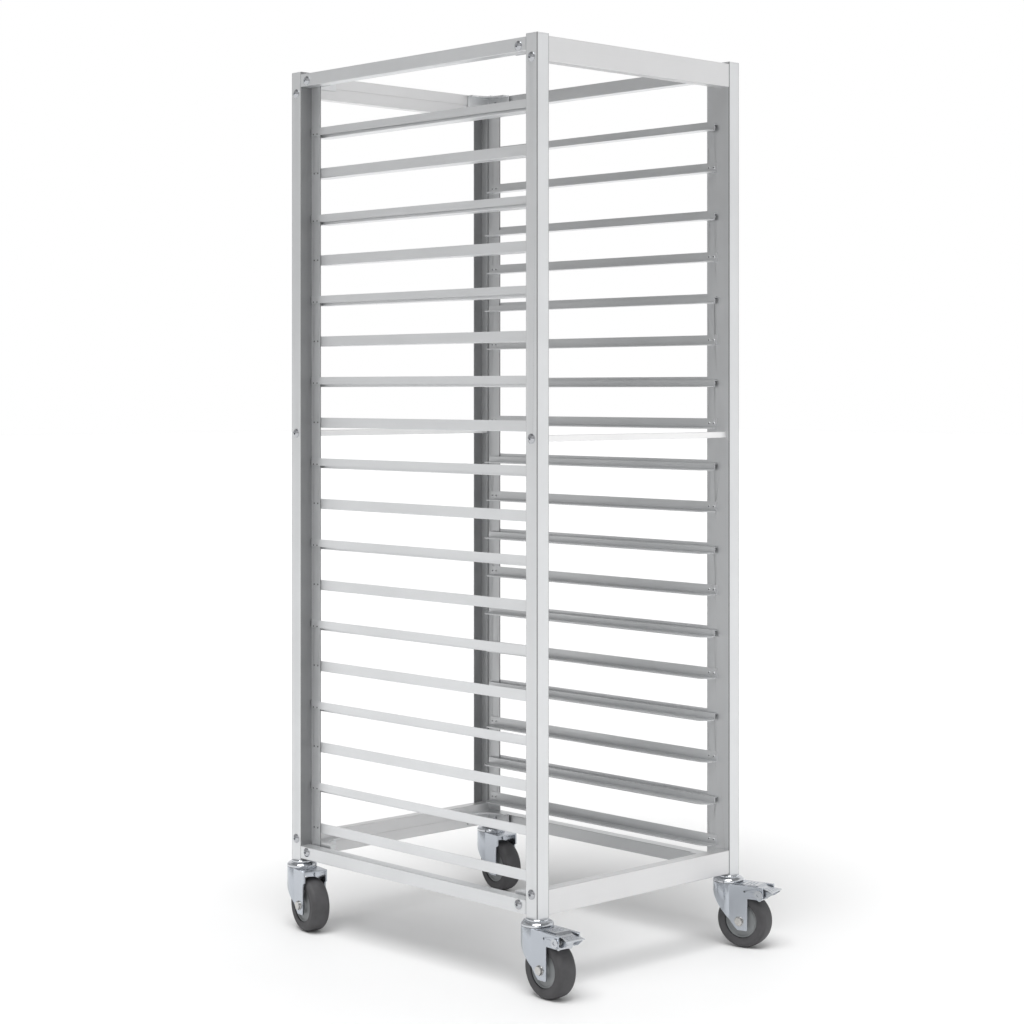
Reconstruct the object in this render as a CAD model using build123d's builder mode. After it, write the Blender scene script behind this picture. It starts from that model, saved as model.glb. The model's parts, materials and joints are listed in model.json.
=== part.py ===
"""Sheet pan rack: an open aluminium frame with 18 pairs of pan runners on four stem castors.

Millimetres. The origin is on the floor, under the middle of the four posts. +X is to the right of
a person facing the open front, +Y runs from the front to the rear, +Z is up.
"""
from build123d import *
import os

# Driving dimensions
FRAME_WIDTH = 520.0
FRAME_DEPTH = 672.0
POST_LENGTH = 1498.0
CASTOR_HEIGHT = 129.0
LEVEL_COUNT = 18
LEVEL_PITCH = 77.0
TOP_GAP_EXTRA = 11.0
FIRST_RUNNER_DROP = 117.6

# Posts: square tube with a fin that carries the runners
POST_SIZE = 28.0
POST_WALL = 2.0
POST_CORNER = 1.2
FIN_REACH = 26.0
FIN_THICKNESS = 2.0
CAP_THICKNESS = 2.0
CAP_PLUG_DEPTH = 12.0

# Rails between the posts
SIDE_RAIL_SIZE = 24.0
SIDE_RAIL_WALL = 2.0
SIDE_RAIL_SETBACK = 5.0
END_RAIL_HEIGHT = 43.0
END_RAIL_DEPTH = 22.0
END_RAIL_WALL = 2.0
END_RAIL_SETBACK = 4.0
END_RAIL_INSET = 0.6
GROOVE_HEIGHT = 2.4
GROOVE_DEPTH = 1.2
SCREW_PORT_RADIUS = 4.5
SCREW_PORT_OFFSET = 15.5
BRACE_HEIGHT = 11.0
BRACE_DEPTH = 12.0
BRACE_CENTRE_RISE = 811.5
STOP_WIDTH = 23.0
STOP_LEG = 20.0
STOP_THICKNESS = 2.0

# Runners: both sections are 19 mm tall with a ledge at the bottom
RUNNER_HEIGHT = 19.0
RUNNER_THICKNESS = 2.0
RUNNER_END_SETBACK = 30.0
LEDGE_REACH = 27.0
LEDGE_CORNER = 22.0
JOGGLE_FLANGE_RISE = 5.0
JOGGLE_WEB_RISE = 11.0
JOGGLE_OFFSET = 5.0
NOTCH_CLEARANCE = 0.1
BEND_RADIUS = 0.8

# Fasteners
BOLT_HEAD_RADIUS = 8.5
BOLT_HEAD_HEIGHT = 4.6
BOLT_SHANK_RADIUS = 3.0
BOLT_SOCKET_ACROSS = 5.0
BOLT_SOCKET_DEPTH = 2.6
POST_BOLT_DROP = 41.0
POST_BOLT_GRIP = 12.0
RAIL_BOLT_DROP = 19.0
RAIL_BOLT_PAST_POST = 18.0
RIVET_SHANK_RADIUS = 1.6
RIVET_HEAD_RADIUS = 2.6
RIVET_HEAD_HEIGHT = 1.0
RIVET_SETBACKS = (36.0, 47.0)
RIVET_RISE_ANGLE = 10.0
RIVET_RISE_JOGGLED = 7.5
GUSSET_REACH = 60.0
GUSSET_THICKNESS = 3.0
GUSSET_FLANGE = 21.0
GUSSET_EDGE_WIDTH = 16.0

# Castors
STEM_RADIUS = 8.0
STEM_LENGTH = 28.0
SLEEVE_LENGTH = 30.0
HEAD_RADIUS = 28.5
KINGPIN_RADIUS = 6.0
RUNNING_CLEARANCE = 0.06
WHEEL_RADIUS = 50.0
WHEEL_WIDTH = 37.0
TYRE_INNER_RADIUS = 36.0
HUB_WIDTH = 41.0
TRAIL = 34.0
AXLE_RADIUS = 5.0
FORK_HALF_WIDTH = 24.5
FORK_SHEET = 3.0
FORK_SHELL_RADIUS = 28.0
FORK_CROWN_TOP = 117.2
FORK_CROWN_THICKNESS = 4.0
LEG_FRONT = -50.4
LEG_BOTTOM = 34.0
ARM_FRONT = -82.0
ARM_BOTTOM = 93.0
CROWN_FRONT_UNBRAKED = -55.0
CROWN_WINDOW_REAR = -31.0
CROWN_WINDOW_HALF = 17.6
PEDAL_PIVOT_Y = -74.0
PEDAL_PIVOT_Z = 103.0
PEDAL_PIN_RADIUS = 3.0
PIN_HEAD_RADIUS = 8.0
PEDAL_REAR = -36.0
PEDAL_REACH = 98.0
PEDAL_HALF_WIDTH = 16.0
TREAD_TIP_HALF_WIDTH = 21.0
PEDAL_SHEET = 2.0
SHOE_OFFSET = 10.6
SHOE_ANGLE = -68.0
SHOE_RADIUS = 5.0
CASTOR_TURNS = {"front_left": -4.0, "front_right": 14.0, "rear_left": -11.0, "rear_right": -7.0}

# Derived positions
HALF_WIDTH = FRAME_WIDTH / 2
HALF_DEPTH = FRAME_DEPTH / 2
POST_BOTTOM = CASTOR_HEIGHT
POST_TOP = POST_BOTTOM + POST_LENGTH
INNER_FACE = HALF_WIDTH - POST_SIZE
POST_INNER_Y = HALF_DEPTH - POST_SIZE
POST_AXIS_X = HALF_WIDTH - POST_SIZE / 2
POST_AXIS_Y = HALF_DEPTH - POST_SIZE / 2
FIN_END_Y = POST_INNER_Y - FIN_REACH
FIN_OUTER_FACE = INNER_FACE + FIN_THICKNESS
RUNNER_HALF_LENGTH = HALF_DEPTH - RUNNER_END_SETBACK
BRACE_CENTRE = POST_BOTTOM + BRACE_CENTRE_RISE
END_RAIL_INNER_Y = HALF_DEPTH - END_RAIL_INSET - END_RAIL_DEPTH


def level_bottom(level):
    """Height of a runner's underside; level 1 is at the top, and odd levels are joggled."""
    top = POST_TOP - FIRST_RUNNER_DROP - LEVEL_PITCH * (level - 1)
    if level <= 2:
        top += TOP_GAP_EXTRA
    return top - RUNNER_HEIGHT


def is_joggled(level):
    return level % 2 == 1


def write(part, name):
    part.label = name
    export_step(part, "parts/" + name + ".step")


def front_left_post():
    """Tube and fin as one extrusion, drilled for rivets and bolts and notched for the joggled runners."""
    with BuildPart() as post:
        with BuildSketch(Plane.XY.offset(POST_BOTTOM)):
            with Locations((-POST_AXIS_X, -POST_AXIS_Y)):
                RectangleRounded(POST_SIZE, POST_SIZE, POST_CORNER)
            with Locations((-INNER_FACE, -FIN_END_Y)):
                Rectangle(FIN_THICKNESS, FIN_REACH + POST_WALL, align=(Align.MAX, Align.MAX))
            with Locations((-POST_AXIS_X, -POST_AXIS_Y)):
                Rectangle(POST_SIZE - 2 * POST_WALL, POST_SIZE - 2 * POST_WALL, mode=Mode.SUBTRACT)
        extrude(amount=POST_LENGTH - CAP_THICKNESS)
        notch_height = RUNNER_THICKNESS + 2 * NOTCH_CLEARANCE
        notch_start = -RUNNER_HALF_LENGTH - NOTCH_CLEARANCE
        with BuildSketch(Plane.YZ.offset(-FIN_OUTER_FACE)):
            for level in range(1, LEVEL_COUNT + 1):
                if is_joggled(level):
                    rise = level_bottom(level) + JOGGLE_WEB_RISE - NOTCH_CLEARANCE
                    with Locations((notch_start, rise)):
                        Rectangle(FIN_REACH + POST_SIZE, notch_height, align=(Align.MIN, Align.MIN))
            for level in range(1, LEVEL_COUNT + 1):
                for setback in RIVET_SETBACKS:
                    with Locations((-HALF_DEPTH + setback, rivet_height(level))):
                        Circle(RIVET_SHANK_RADIUS)
            for height in (POST_TOP - RAIL_BOLT_DROP, POST_BOTTOM + RAIL_BOLT_DROP):
                with Locations((-POST_INNER_Y + RAIL_BOLT_PAST_POST, height)):
                    Circle(BOLT_SHANK_RADIUS)
        extrude(amount=FIN_THICKNESS, mode=Mode.SUBTRACT)
        with BuildSketch(Plane.YZ.offset(-HALF_WIDTH)):
            for height in post_bolt_heights():
                with Locations((-POST_AXIS_Y, height)):
                    Circle(BOLT_SHANK_RADIUS)
        extrude(amount=POST_SIZE, mode=Mode.SUBTRACT)
    return post.part


def rivet_height(level):
    rise = RIVET_RISE_JOGGLED if is_joggled(level) else RIVET_RISE_ANGLE
    return level_bottom(level) + rise


def post_bolt_heights():
    return (POST_TOP - POST_BOLT_DROP, BRACE_CENTRE, POST_BOTTOM + POST_BOLT_DROP)


def post_caps():
    """Flat cap plates whose plugs close the tops of the posts."""
    with BuildPart() as caps:
        with BuildSketch(Plane.XY.offset(POST_TOP - CAP_THICKNESS)):
            with GridLocations(2 * POST_AXIS_X, 2 * POST_AXIS_Y, 2, 2):
                RectangleRounded(POST_SIZE, POST_SIZE, POST_CORNER)
        extrude(amount=CAP_THICKNESS)
        chamfer(caps.faces().sort_by(Axis.Z)[-1].edges(), 0.5)
        with BuildSketch(Plane.XY.offset(POST_TOP - CAP_THICKNESS)):
            with GridLocations(2 * POST_AXIS_X, 2 * POST_AXIS_Y, 2, 2):
                Rectangle(POST_SIZE - 2 * POST_WALL, POST_SIZE - 2 * POST_WALL)
        extrude(amount=-CAP_PLUG_DEPTH)
    return caps.part


def stem_sleeves():
    """Square sleeves in the lower ends of the posts, bored for the castor stems."""
    with BuildPart() as sleeves:
        with BuildSketch(Plane.XY.offset(POST_BOTTOM)):
            with GridLocations(2 * POST_AXIS_X, 2 * POST_AXIS_Y, 2, 2):
                Rectangle(POST_SIZE - 2 * POST_WALL, POST_SIZE - 2 * POST_WALL)
                Circle(STEM_RADIUS, mode=Mode.SUBTRACT)
        extrude(amount=SLEEVE_LENGTH)
    return sleeves.part


def left_side_rail(at_top):
    """Square tube between the left posts, flush with their outer faces."""
    if at_top:
        centre = POST_TOP - SIDE_RAIL_SETBACK - SIDE_RAIL_SIZE / 2
        bolt_height = POST_TOP - RAIL_BOLT_DROP
    else:
        centre = POST_BOTTOM + SIDE_RAIL_SETBACK + SIDE_RAIL_SIZE / 2
        bolt_height = POST_BOTTOM + RAIL_BOLT_DROP
    inner_size = SIDE_RAIL_SIZE - 2 * SIDE_RAIL_WALL
    with BuildPart() as rail:
        with BuildSketch(Plane.XZ):
            with Locations((-HALF_WIDTH + SIDE_RAIL_SIZE / 2, centre)):
                RectangleRounded(SIDE_RAIL_SIZE, SIDE_RAIL_SIZE, 1.0)
                Rectangle(inner_size, inner_size, mode=Mode.SUBTRACT)
        extrude(amount=POST_INNER_Y, both=True)
        with BuildSketch(Plane.YZ.offset(-HALF_WIDTH)):
            with Locations((0, bolt_height)):
                with GridLocations(2 * (POST_INNER_Y - RAIL_BOLT_PAST_POST), 0, 2, 1):
                    Circle(BOLT_SHANK_RADIUS)
        extrude(amount=SIDE_RAIL_SIZE, mode=Mode.SUBTRACT)
    return rail.part


def front_rail(at_top):
    """Box extrusion with two screw ports and a shadow groove along its inner face."""
    if at_top:
        centre = POST_TOP - END_RAIL_SETBACK - END_RAIL_HEIGHT / 2
    else:
        centre = POST_BOTTOM + END_RAIL_SETBACK + END_RAIL_HEIGHT / 2
    middle_y = -END_RAIL_INNER_Y - END_RAIL_DEPTH / 2
    hollow_depth = END_RAIL_DEPTH - 2 * END_RAIL_WALL - GROOVE_DEPTH
    with BuildPart() as rail:
        with BuildSketch(Plane.YZ):
            with Locations((middle_y, centre)):
                RectangleRounded(END_RAIL_DEPTH, END_RAIL_HEIGHT, 1.0)
            with Locations((middle_y - GROOVE_DEPTH / 2, centre)):
                Rectangle(hollow_depth, END_RAIL_HEIGHT - 2 * END_RAIL_WALL, mode=Mode.SUBTRACT)
            with Locations((-END_RAIL_INNER_Y, centre)):
                Rectangle(2 * GROOVE_DEPTH, GROOVE_HEIGHT, mode=Mode.SUBTRACT)
            for offset_z in (-SCREW_PORT_OFFSET, SCREW_PORT_OFFSET):
                with Locations((-POST_AXIS_Y, centre + offset_z)):
                    Circle(SCREW_PORT_RADIUS)
                with Locations((-POST_AXIS_Y - SCREW_PORT_RADIUS / 2, centre + offset_z)):
                    Rectangle(SCREW_PORT_RADIUS + 2.0, 2.0)
            for offset_z in (-SCREW_PORT_OFFSET, SCREW_PORT_OFFSET):
                with Locations((-POST_AXIS_Y, centre + offset_z)):
                    Circle(BOLT_SHANK_RADIUS, mode=Mode.SUBTRACT)
        extrude(amount=INNER_FACE, both=True)
    return rail.part


def front_mid_brace():
    """Slim bar between the inner faces of the posts, bored at both ends for its bolts."""
    with BuildPart() as brace:
        with BuildSketch(Plane.YZ):
            with Locations((-POST_AXIS_Y, BRACE_CENTRE)):
                RectangleRounded(BRACE_DEPTH, BRACE_HEIGHT, 1.0)
        extrude(amount=INNER_FACE, both=True)
        with BuildSketch(Plane.YZ.offset(-INNER_FACE)):
            with Locations((-POST_AXIS_Y, BRACE_CENTRE)):
                Circle(BOLT_SHANK_RADIUS)
        extrude(amount=POST_BOLT_GRIP, mode=Mode.SUBTRACT)
        with BuildSketch(Plane.YZ.offset(INNER_FACE)):
            with Locations((-POST_AXIS_Y, BRACE_CENTRE)):
                Circle(BOLT_SHANK_RADIUS)
        extrude(amount=-POST_BOLT_GRIP, mode=Mode.SUBTRACT)
    return brace.part


def rear_stops():
    """Full-height angles at the rear that stop a pan from sliding out."""
    low = POST_BOTTOM + END_RAIL_SETBACK + END_RAIL_HEIGHT
    high = POST_TOP - END_RAIL_SETBACK - END_RAIL_HEIGHT
    outer_y = HALF_DEPTH - POST_CORNER
    with BuildPart() as stops:
        with BuildSketch(Plane.XY.offset(low)):
            with BuildLine():
                Polyline(
                    (-INNER_FACE, outer_y),
                    (-INNER_FACE + STOP_WIDTH, outer_y),
                    (-INNER_FACE + STOP_WIDTH, outer_y - STOP_THICKNESS),
                    (-INNER_FACE + STOP_THICKNESS, outer_y - STOP_THICKNESS),
                    (-INNER_FACE + STOP_THICKNESS, outer_y - STOP_LEG),
                    (-INNER_FACE, outer_y - STOP_LEG),
                    close=True,
                )
            make_face()
        extrude(amount=high - low)
        with BuildSketch(Plane.YZ.offset(-INNER_FACE)):
            with Locations((POST_AXIS_Y, BRACE_CENTRE)):
                Rectangle(BRACE_DEPTH + 1.0, BRACE_HEIGHT + 1.0)
        extrude(amount=STOP_THICKNESS, mode=Mode.SUBTRACT)
        mirror(about=Plane.YZ)
    return stops.part


def runner_outline(level):
    """Corner points of a left runner's section, in X and Z."""
    low = level_bottom(level)
    thick = RUNNER_THICKNESS
    if is_joggled(level):
        flange = -FIN_OUTER_FACE
        inner = -INNER_FACE + JOGGLE_OFFSET
        tip = inner + LEDGE_REACH
        web = low + JOGGLE_WEB_RISE
        return [
            (flange - thick, low + JOGGLE_FLANGE_RISE),
            (flange, low + JOGGLE_FLANGE_RISE),
            (flange, web),
            (inner, web),
            (inner, low),
            (tip, low),
            (tip, low + thick),
            (inner + thick, low + thick),
            (inner + thick, web + thick),
            (flange, web + thick),
            (flange, low + RUNNER_HEIGHT),
            (flange - thick, low + RUNNER_HEIGHT),
        ]
    face = -INNER_FACE
    tip = face + LEDGE_REACH
    return [
        (face, low),
        (tip, low),
        (tip, low + thick),
        (face + thick, low + thick),
        (face + thick, low + RUNNER_HEIGHT),
        (face, low + RUNNER_HEIGHT),
    ]


def runner_pair(level):
    """The left and right runner of one level, each a folded strip with rounded ledge corners."""
    rivet_face = -FIN_OUTER_FACE - RUNNER_THICKNESS if is_joggled(level) else -INNER_FACE
    outer_bend = (-INNER_FACE + (JOGGLE_OFFSET if is_joggled(level) else 0.0), level_bottom(level))
    with BuildPart() as pair:
        with BuildSketch(Plane.XZ):
            with BuildLine():
                Polyline(*runner_outline(level), close=True)
            make_face()
            bend = [v for v in vertices() if abs(v.X - outer_bend[0]) + abs(v.Y - outer_bend[1]) < 0.01]
            fillet(bend, BEND_RADIUS)
        extrude(amount=RUNNER_HALF_LENGTH, both=True)
        ledge_corners = pair.edges().filter_by(Axis.Z).group_by(Axis.X)[-1]
        fillet(ledge_corners, LEDGE_CORNER)
        with BuildSketch(Plane.YZ.offset(rivet_face)):
            with Locations((0, rivet_height(level))):
                for setback in RIVET_SETBACKS:
                    with GridLocations(2 * (HALF_DEPTH - setback), 0, 2, 1):
                        Circle(RIVET_SHANK_RADIUS)
        extrude(amount=RUNNER_THICKNESS, mode=Mode.SUBTRACT)
        mirror(about=Plane.YZ)
    return pair.part


def runner_rivets():
    """Domed rivets through the runners and fins; those of joggled runners lie flush outside."""
    with BuildPart() as rivets:
        for level in range(1, LEVEL_COUNT + 1):
            start = -FIN_OUTER_FACE - (RUNNER_THICKNESS if is_joggled(level) else 0.0)
            length = RUNNER_THICKNESS + FIN_THICKNESS
            spots = [
                (side * (HALF_DEPTH - setback), rivet_height(level))
                for side in (-1, 1)
                for setback in RIVET_SETBACKS
            ]
            with BuildSketch(Plane.YZ.offset(start)):
                with Locations(*spots):
                    Circle(RIVET_SHANK_RADIUS)
            extrude(amount=length)
            with BuildSketch(Plane.YZ.offset(start + length)):
                with Locations(*spots):
                    Circle(RIVET_HEAD_RADIUS)
            extrude(amount=RIVET_HEAD_HEIGHT, taper=30)
        mirror(about=Plane.YZ)
    return rivets.part


def bolt(length):
    """Domed socket-head bolt along +X, with the underside of its head at X = 0."""
    with BuildPart() as screw:
        with BuildSketch(Plane.XY):
            with BuildLine():
                dome = TangentArc((-BOLT_HEAD_HEIGHT, 0), (-1.0, BOLT_HEAD_RADIUS), tangent=(0, 1))
                Polyline(
                    dome @ 1,
                    (0, BOLT_HEAD_RADIUS),
                    (0, BOLT_SHANK_RADIUS),
                    (length, BOLT_SHANK_RADIUS),
                    (length, 0),
                    dome @ 0,
                )
            make_face()
        revolve(axis=Axis.X)
        with BuildSketch(Plane.YZ.offset(-BOLT_HEAD_HEIGHT)):
            RegularPolygon(BOLT_SOCKET_ACROSS / 2, 6, major_radius=False)
        extrude(amount=BOLT_SOCKET_DEPTH, mode=Mode.SUBTRACT)
    return screw.part


def frame_bolts():
    """The bolts on both side faces: three in each post and one in each end of each side rail."""
    post_bolt = bolt(POST_SIZE + POST_BOLT_GRIP)
    rail_bolt = bolt(POST_SIZE + GUSSET_THICKNESS + 2.0)
    rail_y = POST_INNER_Y - RAIL_BOLT_PAST_POST
    placed = []
    for end in (-1, 1):
        for height in post_bolt_heights():
            placed.append(Pos(-HALF_WIDTH, end * POST_AXIS_Y, height) * post_bolt)
        for height in (POST_TOP - RAIL_BOLT_DROP, POST_BOTTOM + RAIL_BOLT_DROP):
            placed.append(Pos(-HALF_WIDTH, end * rail_y, height) * rail_bolt)
    with BuildPart() as bolts:
        add(placed)
        mirror(about=Plane.YZ)
    return bolts.part


def corner_gusset():
    """Front left top gusset: a plate with a concave free edge over a flange along each side."""
    plate_bottom = POST_TOP - SIDE_RAIL_SETBACK - GUSSET_THICKNESS
    x0 = -INNER_FACE
    y0 = -END_RAIL_INNER_Y
    far_x = x0 + GUSSET_REACH
    far_y = y0 + GUSSET_REACH
    with BuildPart() as gusset:
        with BuildSketch(Plane.XY.offset(plate_bottom)):
            with BuildLine():
                edge = ThreePointArc(
                    (far_x, y0 + GUSSET_EDGE_WIDTH),
                    (x0 + GUSSET_REACH * 0.42, y0 + GUSSET_REACH * 0.42),
                    (x0 + GUSSET_EDGE_WIDTH, far_y),
                )
                Polyline(edge @ 1, (x0, far_y), (x0, y0), (far_x, y0), edge @ 0)
            make_face()
        extrude(amount=GUSSET_THICKNESS)
        with BuildSketch(Plane.XY.offset(plate_bottom - GUSSET_FLANGE)):
            with Locations((x0, y0)):
                Rectangle(GUSSET_THICKNESS, GUSSET_REACH, align=(Align.MIN, Align.MIN))
                Rectangle(GUSSET_REACH, GUSSET_THICKNESS, align=(Align.MIN, Align.MIN))
        extrude(amount=GUSSET_FLANGE + GUSSET_THICKNESS)
        with BuildSketch(Plane.YZ.offset(x0)):
            with Locations((-POST_INNER_Y + RAIL_BOLT_PAST_POST, POST_TOP - RAIL_BOLT_DROP)):
                Circle(BOLT_SHANK_RADIUS)
        extrude(amount=GUSSET_THICKNESS, mode=Mode.SUBTRACT)
    return gusset.part


def corner_gussets():
    """All eight gussets: four at the top, and the same four lowered onto the bottom rail bolts."""
    lowering = POST_LENGTH - 2 * RAIL_BOLT_DROP
    with BuildPart() as gussets:
        with Locations((0, 0, 0), (0, 0, -lowering)):
            add(corner_gusset())
        mirror(about=Plane.XZ)
        mirror(about=Plane.YZ)
    return gussets.part


# Castor pieces are made with the swivel axis on Z, the floor at Z = 0 and the wheel towards -Y.


def castor_head():
    """Stem, collar, domed upper race and kingpin, turned as one piece."""
    collar_top = CASTOR_HEIGHT
    with BuildPart() as head:
        with BuildSketch(Plane.XZ):
            with BuildLine():
                dome = ThreePointArc(
                    (20.0, collar_top - 3.0),
                    (26.0, collar_top - 5.2),
                    (HEAD_RADIUS, collar_top - 8.6),
                )
                Polyline(
                    dome @ 1,
                    (HEAD_RADIUS, FORK_CROWN_TOP + 0.4),
                    (KINGPIN_RADIUS, FORK_CROWN_TOP + 0.4),
                    (KINGPIN_RADIUS, FORK_CROWN_TOP - FORK_CROWN_THICKNESS - 0.4),
                    (KINGPIN_RADIUS + 4.0, FORK_CROWN_TOP - FORK_CROWN_THICKNESS - 0.4),
                    (KINGPIN_RADIUS + 2.0, FORK_CROWN_TOP - FORK_CROWN_THICKNESS - 3.4),
                    (0, FORK_CROWN_TOP - FORK_CROWN_THICKNESS - 3.4),
                    (0, collar_top + STEM_LENGTH),
                    (STEM_RADIUS - 1.5, collar_top + STEM_LENGTH),
                    (STEM_RADIUS, collar_top + STEM_LENGTH - 1.5),
                    (STEM_RADIUS, collar_top),
                    (19.0, collar_top),
                    (20.0, collar_top - 1.0),
                    dome @ 0,
                )
            make_face()
        revolve(axis=Axis.Z)
    return head.part


def fork_section(front):
    """Plan of the fork's bent sheet: a round back of the head's size and two parallel cheeks."""
    with BuildSketch(Plane.XY, mode=Mode.PRIVATE) as plan:
        Circle(FORK_SHELL_RADIUS)
        with Locations((0, -FORK_SHELL_RADIUS)):
            Rectangle(2 * FORK_SHELL_RADIUS, 12.0, align=(Align.CENTER, Align.MIN), mode=Mode.SUBTRACT)
        with Locations((0, front)):
            Rectangle(2 * FORK_HALF_WIDTH, -front, align=(Align.CENTER, Align.MIN))
        Circle(FORK_SHELL_RADIUS - FORK_SHEET, mode=Mode.SUBTRACT)
        with Locations((0, front)):
            Rectangle(
                2 * (FORK_HALF_WIDTH - FORK_SHEET),
                -front,
                align=(Align.CENTER, Align.MIN),
                mode=Mode.SUBTRACT,
            )
    return plan.sketch


def fork(braked):
    """Stamped fork: the bent sheet cut to the cheek outline, under a flat crown."""
    crown_bottom = FORK_CROWN_TOP - FORK_CROWN_THICKNESS
    front = ARM_FRONT if braked else CROWN_FRONT_UNBRAKED
    front_rounding = 8.0 if braked else 2.0
    leg_rear = -TRAIL + 9.0
    with BuildPart() as body:
        with BuildSketch(Plane.XY):
            add(fork_section(front))
        extrude(amount=crown_bottom)
        with BuildSketch(Plane.YZ):
            with BuildLine():
                Polyline(
                    (FORK_SHELL_RADIUS + 1.0, crown_bottom),
                    (FORK_SHELL_RADIUS + 1.0, crown_bottom - 6.0),
                    (FORK_SHELL_RADIUS - 12.0, crown_bottom - 26.0),
                    (leg_rear, LEG_BOTTOM + 4.0),
                    (leg_rear - 5.0, LEG_BOTTOM),
                    (LEG_FRONT + 1.5, LEG_BOTTOM),
                    (LEG_FRONT, LEG_BOTTOM + 1.5),
                    (LEG_FRONT, ARM_BOTTOM),
                    (front, ARM_BOTTOM),
                    (front, crown_bottom),
                    close=True,
                )
            make_face()
            inner_corner = [v for v in vertices() if abs(v.X - LEG_FRONT) + abs(v.Y - ARM_BOTTOM) < 0.01]
            fillet(inner_corner, 2.5)
            arm_corner = [v for v in vertices() if abs(v.X - front) + abs(v.Y - ARM_BOTTOM) < 0.01]
            fillet(arm_corner, front_rounding)
        extrude(amount=FORK_SHELL_RADIUS + 1.0, both=True, mode=Mode.INTERSECT)
        with BuildSketch(Plane.XY.offset(crown_bottom)):
            Circle(HEAD_RADIUS - 0.5)
            with Locations((0, front)):
                Rectangle(2 * FORK_HALF_WIDTH, -front, align=(Align.CENTER, Align.MIN))
            if braked:
                with Locations((0, CROWN_WINDOW_REAR)):
                    Rectangle(
                        2 * CROWN_WINDOW_HALF,
                        CROWN_WINDOW_REAR - front,
                        align=(Align.CENTER, Align.MAX),
                        mode=Mode.SUBTRACT,
                    )
            Circle(KINGPIN_RADIUS + RUNNING_CLEARANCE, mode=Mode.SUBTRACT)
        extrude(amount=FORK_CROWN_THICKNESS - 1.4)
        with BuildSketch(Plane.XY.offset(FORK_CROWN_TOP - 1.4)):
            Circle(HEAD_RADIUS - 0.5)
            Circle(KINGPIN_RADIUS + RUNNING_CLEARANCE, mode=Mode.SUBTRACT)
        extrude(amount=1.4)
        with BuildSketch(Plane.YZ.offset(-FORK_HALF_WIDTH)):
            with Locations((-TRAIL, WHEEL_RADIUS)):
                Circle(AXLE_RADIUS)
            if braked:
                with Locations((PEDAL_PIVOT_Y, PEDAL_PIVOT_Z)):
                    Circle(PEDAL_PIN_RADIUS + RUNNING_CLEARANCE)
                with Locations((LEG_FRONT + 5.4, PEDAL_PIVOT_Z + 3.0)):
                    Circle(1.8)
        extrude(amount=2 * FORK_HALF_WIDTH, mode=Mode.SUBTRACT)
    return body.part


def axle():
    """Wheel bolt along X with a hexagon head on the left and a nut on the right."""
    centre = (-TRAIL, WHEEL_RADIUS)
    with BuildPart() as bolt_and_nut:
        with BuildSketch(Plane.YZ.offset(-FORK_HALF_WIDTH)):
            with Locations(centre):
                Circle(AXLE_RADIUS)
        extrude(amount=2 * FORK_HALF_WIDTH)
        with BuildSketch(Plane.YZ.offset(-FORK_HALF_WIDTH)):
            with Locations(centre):
                RegularPolygon(7.0, 6, major_radius=False)
        extrude(amount=-4.5)
        with BuildSketch(Plane.YZ.offset(FORK_HALF_WIDTH)):
            with Locations(centre):
                RegularPolygon(7.0, 6, major_radius=False)
        extrude(amount=5.5)
    return bolt_and_nut.part


def hub():
    """Wheel centre with a narrow bearing boss, a dished web and a rim under the tyre."""
    half_rim = WHEEL_WIDTH / 2 - 2.0
    with BuildPart() as centre:
        with BuildSketch(Plane.XY.offset(WHEEL_RADIUS)):
            with BuildLine():
                half = [
                    (HUB_WIDTH / 2, AXLE_RADIUS + RUNNING_CLEARANCE),
                    (HUB_WIDTH / 2, 9.0),
                    (HUB_WIDTH / 2 - 2.0, 11.0),
                    (half_rim - 2.0, 13.0),
                    (half_rim - 3.5, 27.0),
                    (half_rim - 0.5, 30.0),
                    (half_rim - 1.5, 31.5),
                    (half_rim - 1.5, TYRE_INNER_RADIUS),
                ]
                right = [(x, r - TRAIL) for x, r in half]
                left = [(-x, r - TRAIL) for x, r in reversed(half)]
                Polyline(*right, *left, close=True)
            make_face()
        revolve(axis=Axis((0, -TRAIL, WHEEL_RADIUS), (1, 0, 0)))
    return centre.part


def tyre():
    """Solid rubber tyre with a crowned tread and rounded shoulders."""
    half = WHEEL_WIDTH / 2
    seat_half = WHEEL_WIDTH / 2 - 3.5
    inner = TYRE_INNER_RADIUS - TRAIL
    outer = WHEEL_RADIUS - TRAIL
    with BuildPart() as rubber:
        with BuildSketch(Plane.XY.offset(WHEEL_RADIUS)):
            with BuildLine():
                right_shoulder = ThreePointArc(
                    (half, outer - 8.0),
                    (half - 2.6, outer - 2.9),
                    (half - 8.0, outer - 0.5),
                )
                crown = ThreePointArc(right_shoulder @ 1, (0, outer), (8.0 - half, outer - 0.5))
                left_shoulder = ThreePointArc(crown @ 1, (2.6 - half, outer - 2.9), (-half, outer - 8.0))
                Polyline(
                    left_shoulder @ 1,
                    (-half + 0.8, inner - 4.0),
                    (-seat_half, inner - 4.0),
                    (-seat_half, inner),
                    (seat_half, inner),
                    (seat_half, inner - 4.0),
                    (half - 0.8, inner - 4.0),
                    right_shoulder @ 0,
                )
            make_face()
        revolve(axis=Axis((0, -TRAIL, WHEEL_RADIUS), (1, 0, 0)))
    return rubber.part


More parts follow.
